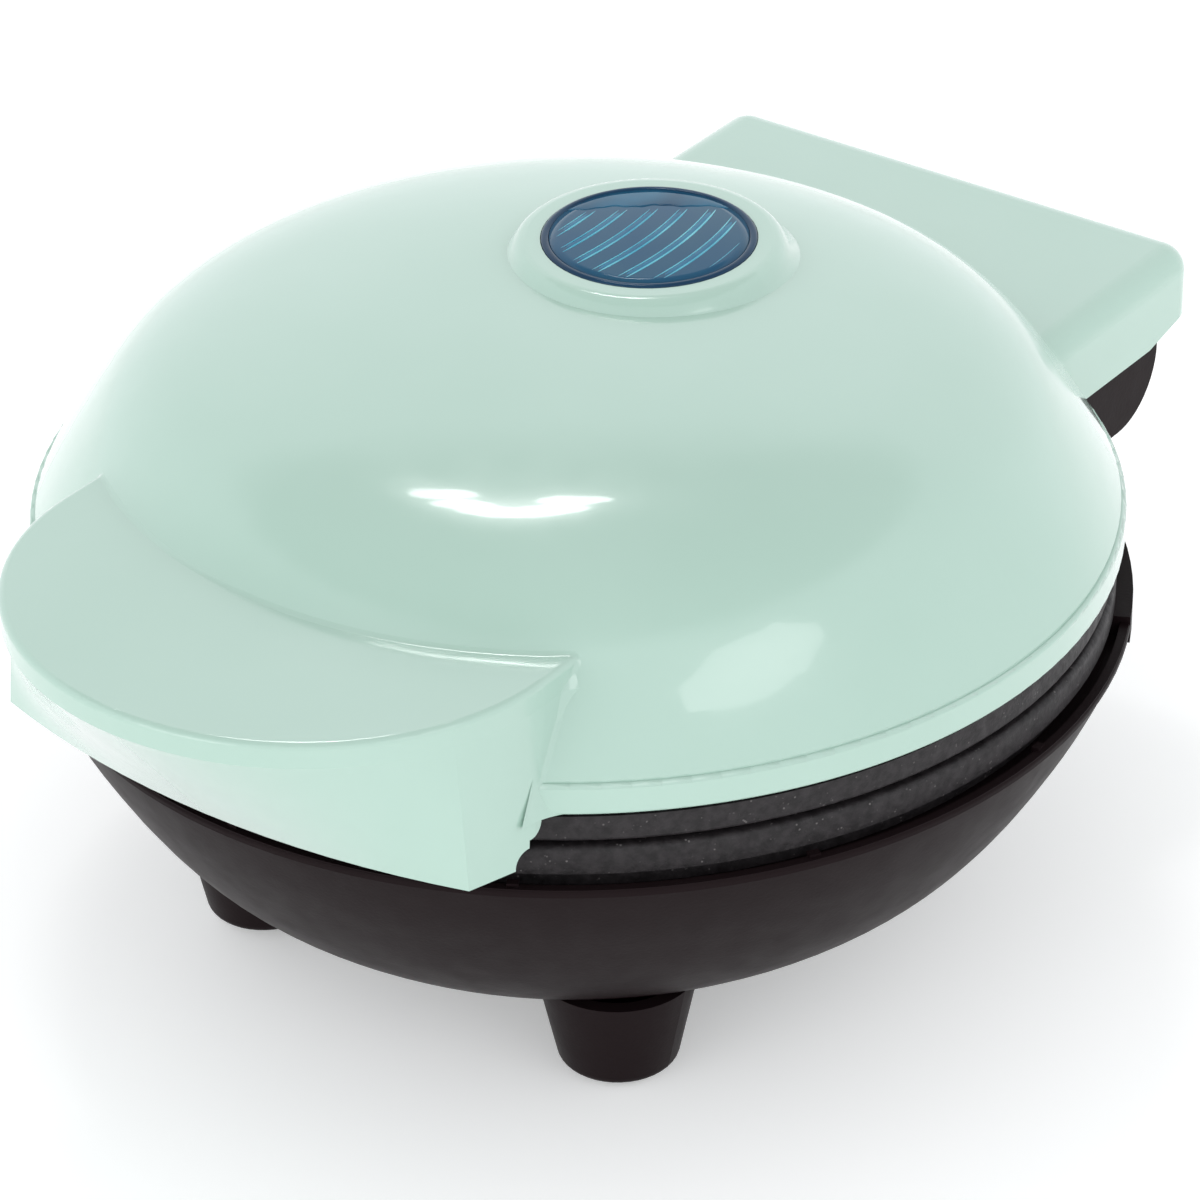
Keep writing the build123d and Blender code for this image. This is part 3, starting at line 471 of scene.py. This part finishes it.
def floor():
    bpy.ops.mesh.primitive_plane_add(size=FLOOR_SIZE, location=(0, 0, FLOOR_Z))
    plane = bpy.context.object
    plane.name = "floor"
    s = Shader("floor")
    s.link(s.mix(s.noise(3), (0.90, 0.90, 0.90), (0.92, 0.92, 0.92)), s.surface.inputs["Base Color"])
    s.set(Roughness=0.7, Specular_IOR_Level=0.2)
    s.set(Emission_Color=(1, 1, 1, 1), Emission_Strength=FLOOR_GLOW)
    assign(plane, s.material)


def camera():
    azimuth = math.radians(CAMERA_AZIMUTH)
    elevation = math.radians(CAMERA_ELEVATION)
    roll = math.radians(CAMERA_ROLL)
    back = Vector((
        math.sin(azimuth) * math.cos(elevation),
        -math.cos(azimuth) * math.cos(elevation),
        math.sin(elevation),
    ))
    right = Vector((math.cos(azimuth), math.sin(azimuth), 0))
    up = back.cross(right)
    turned_right = right * math.cos(roll) + up * math.sin(roll)
    turned_up = up * math.cos(roll) - right * math.sin(roll)
    data = bpy.data.cameras.new("camera")
    data.lens = CAMERA_LENS
    data.sensor_width = 36.0
    data.shift_x, data.shift_y = CAMERA_SHIFT
    data.clip_start = 0.05
    cam = bpy.data.objects.new("camera", data)
    basis = Matrix((turned_right, turned_up, back)).transposed().to_4x4()
    cam.matrix_world = Matrix.Translation(CAMERA_TARGET + back * CAMERA_DISTANCE) @ basis
    bpy.context.scene.collection.objects.link(cam)
    bpy.context.scene.camera = cam


def world():
    """Bright walls all round under a dimmer ceiling."""
    sky = bpy.data.worlds.new("studio")
    bpy.context.scene.world = sky
    sky.use_nodes = True
    tree = sky.node_tree
    point = tree.nodes.new("ShaderNodeTexCoord")
    split = tree.nodes.new("ShaderNodeSeparateXYZ")
    height = tree.nodes.new("ShaderNodeMapRange")
    height.interpolation_type = "SMOOTHSTEP"
    blend = tree.nodes.new("ShaderNodeMix")
    blend.data_type = "RGBA"
    tree.links.new(point.outputs["Generated"], split.inputs[0])
    tree.links.new(split.outputs["Z"], height.inputs["Value"])
    height.inputs["From Min"].default_value = WALL_TOP[0]
    height.inputs["From Max"].default_value = WALL_TOP[1]
    tree.links.new(height.outputs["Result"], blend.inputs["Factor"])
    blend.inputs["A"].default_value = WALL_COLOUR
    blend.inputs["B"].default_value = CEILING_COLOUR
    background = tree.nodes["Background"]
    tree.links.new(blend.outputs["Result"], background.inputs["Color"])
    background.inputs["Strength"].default_value = 1.0


LIGHT_CENTRE = Vector((0.02, -0.043, 0.094))     # where the arc of light shows on the dome
SPARKLE_DISTANCE = 1.1
SPARKLE_SIZE = (0.10, 0.06)
SPARKLE_POWER = 0.16
SPARKLE_DIRECTIONS = [      # small lights in an arc, high at the rear left
    (-0.458, 0.352, 0.816),
    (-0.417, 0.326, 0.849),
    (-0.380, 0.319, 0.868),
    (-0.350, 0.327, 0.878),
    (-0.329, 0.350, 0.877),
    (-0.319, 0.388, 0.865),
    (-0.324, 0.436, 0.840),
]
SOFT_LIGHTS = [             # name, place, size, power
    ("right_window", (0.93, -0.25, 0.66), (0.60, 0.20), 0.55),
    ("front_fill", (-0.2, -1.3, 0.35), (0.9, 0.5), 2.0),
]


def lights():
    for index, direction in enumerate(SPARKLE_DIRECTIONS):
        place = LIGHT_CENTRE + Vector(direction) * SPARKLE_DISTANCE
        area_light(f"sparkle_{index}", place, LIGHT_CENTRE, SPARKLE_SIZE, SPARKLE_POWER)
    for name, place, size, power in SOFT_LIGHTS:
        area_light(name, place, LIGHT_CENTRE, size, power)


bpy.context.scene.view_settings.view_transform = "Standard"
floor()
camera()
world()
lights()
